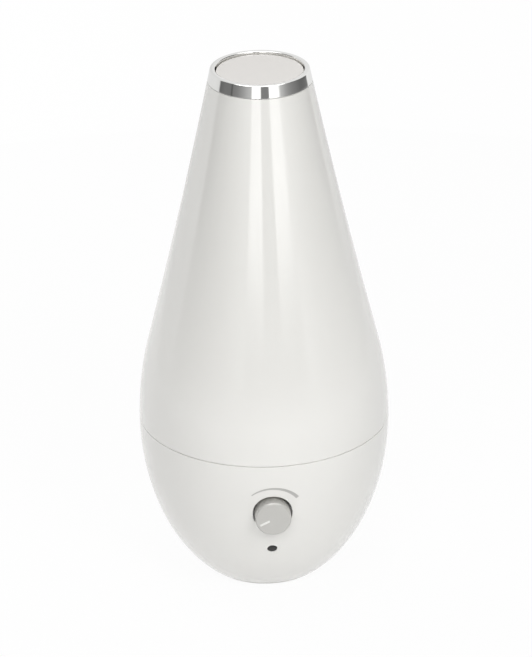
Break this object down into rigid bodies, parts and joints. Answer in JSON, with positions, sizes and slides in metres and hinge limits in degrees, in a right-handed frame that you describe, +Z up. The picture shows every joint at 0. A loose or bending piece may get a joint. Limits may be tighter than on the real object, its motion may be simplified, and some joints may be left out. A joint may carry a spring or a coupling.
{
  "type": "cool mist humidifier",
  "caption": "Teardrop ultrasonic humidifier: glossy lift-off tank with a metal ring and mist disc on a round bowl with a turning knob.",
  "frame": {"origin": "centre of the base on the surface that it stands on", "axes": "+Z up along the body's axis, the control knob faces -Y"},
  "size_m": [0.184, 0.1881, 0.395],
  "materials": {
    "pearl_shell": "high gloss moulded white",
    "inner_plastic": "satin moulded white",
    "clear_grey": "translucent grey moulding",
    "chrome": "polished",
    "silver_knob": "satin silver-grey",
    "pointer_white": "pale inlay",
    "smoked_lens": "dark translucent",
    "led_green": "clear green",
    "rubber": "matt black",
    "silicone": "soft grey",
    "steel": "zinc plated",
    "brass": "plain",
    "iron": "laminated, varnished",
    "copper": "enamelled winding",
    "board": "solder mask",
    "black_plastic": "satin black",
    "aluminium": "bare",
    "float_foam": "closed cell foam"
  },
  "bodies": {
    "base": {"base_bowl": "pearl_shell", "bottom_plate": "inner_plastic", "rubber_foot_1": "rubber", "rubber_foot_2": "rubber", "rubber_foot_3": "rubber", "rubber_foot_4": "rubber", "plate_screw_1": "steel", "plate_screw_2": "steel", "plate_screw_3": "steel", "water_tray": "inner_plastic", "tray_screw_1": "steel", "tray_screw_2": "steel", "tray_screw_3": "steel", "tray_screw_4": "steel", "transducer_seal": "silicone", "transducer_disc": "brass", "transducer_clamp": "aluminium", "clamp_screw_1": "steel", "clamp_screw_2": "steel", "clamp_screw_3": "steel", "air_hood": "inner_plastic", "float_clip": "inner_plastic", "level_sensor_board": "board", "blower_case": "black_plastic", "blower_lid": "black_plastic", "blower_stator": "copper", "transformer_core": "iron", "transformer_coil": "copper", "driver_board": "board", "heat_sink": "aluminium", "capacitor_1": "black_plastic", "capacitor_2": "black_plastic", "cord_bush": "rubber", "potentiometer": "steel", "pot_nut": "steel", "control_board": "board", "indicator_led": "led_green", "indicator_lens": "smoked_lens"},
    "knob": {"control_knob": "silver_knob", "knob_pointer": "pointer_white", "pot_shaft": "steel"},
    "wheel": {"blower_wheel": "black_plastic"},
    "float": {"float_ring": "float_foam", "float_magnet": "iron"},
    "tank": {"tank_shell": "pearl_shell", "tank_floor": "clear_grey", "mist_chimney": "clear_grey", "outlet_collar": "inner_plastic", "chrome_ring": "chrome", "chimney_seal_lower": "silicone", "chimney_seal_upper": "silicone"},
    "outlet": {"outlet_disc": "pearl_shell"},
    "cap": {"filler_cap": "inner_plastic", "filler_gasket": "silicone", "valve_spring": "steel"},
    "valve": {"valve_plunger": "inner_plastic", "valve_seal": "silicone"}
  },
  "joints": [
    {"name": "knob_turn", "type": "hinge", "parent": "base", "child": "knob", "pos_m": [0, -0.088, 0.084], "axis": [0, 1, 0], "range_deg": [0, 230]},
    {"name": "blower_spin", "type": "hinge", "parent": "base", "child": "wheel", "pos_m": [0.0045, 0, 0.0485], "axis": [0, 1, 0], "continuous": true},
    {"name": "float_rise", "type": "slide", "parent": "base", "child": "float", "axis": [0, 0, 1], "range_m": [0, 0.005]},
    {"name": "tank_lift", "type": "slide", "parent": "base", "child": "tank", "axis": [0, 0, 1], "range_m": [0, 0.08]},
    {"name": "outlet_lift", "type": "slide", "parent": "tank", "child": "outlet", "axis": [0, 0, 1], "range_m": [0, 0.04]},
    {"name": "cap_turn", "type": "hinge", "parent": "tank", "child": "cap", "pos_m": [0, 0.05995, 0.1], "axis": [0, 0, -1], "range_deg": [0, 90]},
    {"name": "valve_drop", "type": "slide", "parent": "cap", "child": "valve", "axis": [0, 0, -1], "range_m": [0, 0.004], "deforming": ["valve_spring"]}
  ],
  "couplings": [
    {"joint": "valve_drop", "follows": "tank_lift", "ratio": 0.05}
  ]
}
